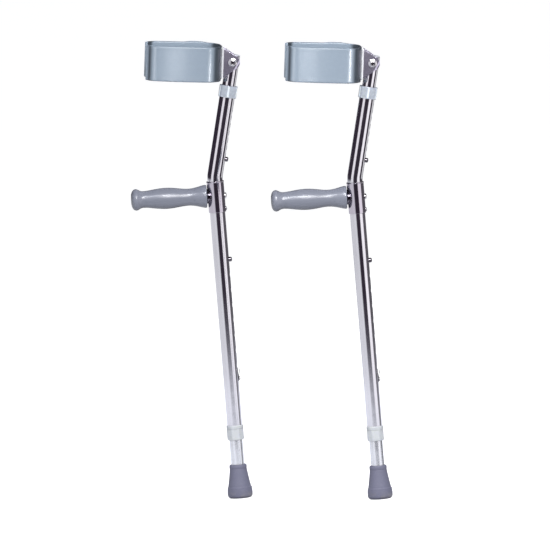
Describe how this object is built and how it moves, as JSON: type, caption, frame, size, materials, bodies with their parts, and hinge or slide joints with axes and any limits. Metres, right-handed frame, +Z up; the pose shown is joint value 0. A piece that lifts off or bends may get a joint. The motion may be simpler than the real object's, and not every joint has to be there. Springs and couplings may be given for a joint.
{
  "type": "forearm crutches",
  "caption": "Pair of forearm crutches: bent tube, telescoping leg and cuff tube with spring buttons and lock nuts, moulded grip, pivoting open cuff and rubber tip.",
  "frame": {"origin": "centre of the left crutch's tip base, on the floor", "axes": "+Z up along the lower tubes, the hand grips point to -X and the backs of the crutches face +X, the right crutch stands at +X and -Y of the left one"},
  "size_m": [0.4242, 0.2934, 0.7691],
  "materials": {
    "polished_tube": "bright dipped anodised, mirror-like",
    "leg_aluminium": "satin anodised",
    "chromed_steel": "polished chrome plate",
    "plated_steel": "bright zinc or nickel plate",
    "bracket_steel": "plated sheet steel",
    "spring_steel": "plain steel, hidden inside",
    "nylon": "natural translucent nylon",
    "cuff_vinyl": "semi-gloss dipped vinyl, blue grey",
    "grip_vinyl": "smooth satin vinyl, blue grey",
    "tip_rubber": "moulded rubber, purple grey"
  },
  "bodies": {
    "left_frame": {"left_main_tube": "polished_tube", "left_handle_saddle": "chromed_steel", "left_handle_bar": "plated_steel", "left_hand_grip": "grip_vinyl", "left_handle_bolt": "plated_steel", "left_frame_rivets": "plated_steel", "left_stop_clip": "plated_steel", "left_lower_sleeve": "nylon", "left_upper_sleeve": "nylon"},
    "left_leg": {"left_leg_tube": "leg_aluminium", "left_leg_button_spring": "spring_steel", "left_tip_washer": "spring_steel", "left_rubber_tip": "tip_rubber"},
    "left_leg_button": {"left_leg_button": "plated_steel"},
    "left_lower_ring": {"left_lower_ring": "nylon"},
    "left_lower_nut": {"left_lower_lock_nut": "nylon"},
    "left_upper_ring": {"left_upper_ring": "nylon"},
    "left_upper_nut": {"left_upper_lock_nut": "nylon"},
    "left_cuff_tube": {"left_cuff_tube": "polished_tube", "left_cuff_button_spring": "spring_steel", "left_cuff_tube_plug": "nylon", "left_pivot_bolt": "plated_steel", "left_pivot_nut": "plated_steel"},
    "left_cuff_button": {"left_cuff_button": "plated_steel"},
    "left_cuff": {"left_cuff_bracket": "bracket_steel", "left_cuff_core": "spring_steel", "left_cuff_cover": "cuff_vinyl", "left_cuff_rivets": "plated_steel"},
    "right_frame": {"right_main_tube": "polished_tube", "right_handle_saddle": "chromed_steel", "right_handle_bar": "plated_steel", "right_hand_grip": "grip_vinyl", "right_handle_bolt": "plated_steel", "right_frame_rivets": "plated_steel", "right_stop_clip": "plated_steel", "right_lower_sleeve": "nylon", "right_upper_sleeve": "nylon"},
    "right_leg": {"right_leg_tube": "leg_aluminium", "right_leg_button_spring": "spring_steel", "right_tip_washer": "spring_steel", "right_rubber_tip": "tip_rubber"},
    "right_leg_button": {"right_leg_button": "plated_steel"},
    "right_lower_ring": {"right_lower_ring": "nylon"},
    "right_lower_nut": {"right_lower_lock_nut": "nylon"},
    "right_upper_ring": {"right_upper_ring": "nylon"},
    "right_upper_nut": {"right_upper_lock_nut": "nylon"},
    "right_cuff_tube": {"right_cuff_tube": "polished_tube", "right_cuff_button_spring": "spring_steel", "right_cuff_tube_plug": "nylon", "right_pivot_bolt": "plated_steel", "right_pivot_nut": "plated_steel"},
    "right_cuff_button": {"right_cuff_button": "plated_steel"},
    "right_cuff": {"right_cuff_bracket": "bracket_steel", "right_cuff_core": "spring_steel", "right_cuff_cover": "cuff_vinyl", "right_cuff_rivets": "plated_steel"}
  },
  "joints": [
    {"name": "left_leg_slide", "type": "slide", "parent": "left_frame", "child": "left_leg", "axis": [0, 0, -1], "range_m": [0, 0.1524]},
    {"name": "left_leg_button_press", "type": "slide", "parent": "left_leg", "child": "left_leg_button", "axis": [-1, 0, 0], "range_m": [0, 0.0067], "stiffness_N_per_m": 400, "springref_m": -0.01, "deforming": ["left_leg_button_spring"]},
    {"name": "left_lower_ring_slide", "type": "slide", "parent": "left_frame", "child": "left_lower_ring", "axis": [0, 0, -1], "range_m": [0, 0.002]},
    {"name": "left_lower_nut_turn", "type": "hinge", "parent": "left_lower_ring", "child": "left_lower_nut", "pos_m": [0, 0, 0.106], "axis": [0, 0, -1], "range_deg": [0, 360]},
    {"name": "left_upper_ring_slide", "type": "slide", "parent": "left_frame", "child": "left_upper_ring", "axis": [0.23, 0, 0.9732], "range_m": [0, 0.002]},
    {"name": "left_upper_nut_turn", "type": "hinge", "parent": "left_upper_ring", "child": "left_upper_nut", "pos_m": [0.03368, 0, 0.6783], "axis": [0.23, 0, 0.9732], "range_deg": [0, 360]},
    {"name": "left_cuff_slide", "type": "slide", "parent": "left_frame", "child": "left_cuff_tube", "axis": [0.23, 0, 0.9732], "range_m": [0, 0.0762]},
    {"name": "left_cuff_button_press", "type": "slide", "parent": "left_cuff_tube", "child": "left_cuff_button", "axis": [-0.9732, 0, 0.23], "range_m": [0, 0.0067], "stiffness_N_per_m": 400, "springref_m": -0.01, "deforming": ["left_cuff_button_spring"]},
    {"name": "left_cuff_pivot", "type": "hinge", "parent": "left_cuff_tube", "child": "left_cuff", "pos_m": [0.04491, 0, 0.72579], "axis": [0, 1, 0], "range_deg": [-2, 20]},
    {"name": "right_leg_slide", "type": "slide", "parent": "right_frame", "child": "right_leg", "axis": [0, 0, -1], "range_m": [0, 0.1524]},
    {"name": "right_leg_button_press", "type": "slide", "parent": "right_leg", "child": "right_leg_button", "axis": [-1, 0, 0], "range_m": [0, 0.0067], "stiffness_N_per_m": 400, "springref_m": -0.01, "deforming": ["right_leg_button_spring"]},
    {"name": "right_lower_ring_slide", "type": "slide", "parent": "right_frame", "child": "right_lower_ring", "axis": [0, 0, -1], "range_m": [0, 0.002]},
    {"name": "right_lower_nut_turn", "type": "hinge", "parent": "right_lower_ring", "child": "right_lower_nut", "pos_m": [0.2245, -0.203, 0.106], "axis": [0, 0, -1], "range_deg": [0, 360]},
    {"name": "right_upper_ring_slide", "type": "slide", "parent": "right_frame", "child": "right_upper_ring", "axis": [0.23, 0, 0.9732], "range_m": [0, 0.002]},
    {"name": "right_upper_nut_turn", "type": "hinge", "parent": "right_upper_ring", "child": "right_upper_nut", "pos_m": [0.25818, -0.203, 0.6783], "axis": [0.23, 0, 0.9732], "range_deg": [0, 360]},
    {"name": "right_cuff_slide", "type": "slide", "parent": "right_frame", "child": "right_cuff_tube", "axis": [0.23, 0, 0.9732], "range_m": [0, 0.0762]},
    {"name": "right_cuff_button_press", "type": "slide", "parent": "right_cuff_tube", "child": "right_cuff_button", "axis": [-0.9732, 0, 0.23], "range_m": [0, 0.0067], "stiffness_N_per_m": 400, "springref_m": -0.01, "deforming": ["right_cuff_button_spring"]},
    {"name": "right_cuff_pivot", "type": "hinge", "parent": "right_cuff_tube", "child": "right_cuff", "pos_m": [0.26941, -0.203, 0.72579], "axis": [0, 1, 0], "range_deg": [-2, 20]},
    {"name": "right_crutch_apart", "type": "slide", "parent": "left_frame", "child": "right_frame", "axis": [1, 0, 0], "range_m": [0, 0.3]}
  ],
  "couplings": [
    {"joint": "left_lower_nut_turn", "follows": "left_lower_ring_slide", "rad_per_m": 3141.5},
    {"joint": "left_upper_nut_turn", "follows": "left_upper_ring_slide", "rad_per_m": 3141.5},
    {"joint": "right_lower_nut_turn", "follows": "right_lower_ring_slide", "rad_per_m": 3141.5},
    {"joint": "right_upper_nut_turn", "follows": "right_upper_ring_slide", "rad_per_m": 3141.5}
  ]
}
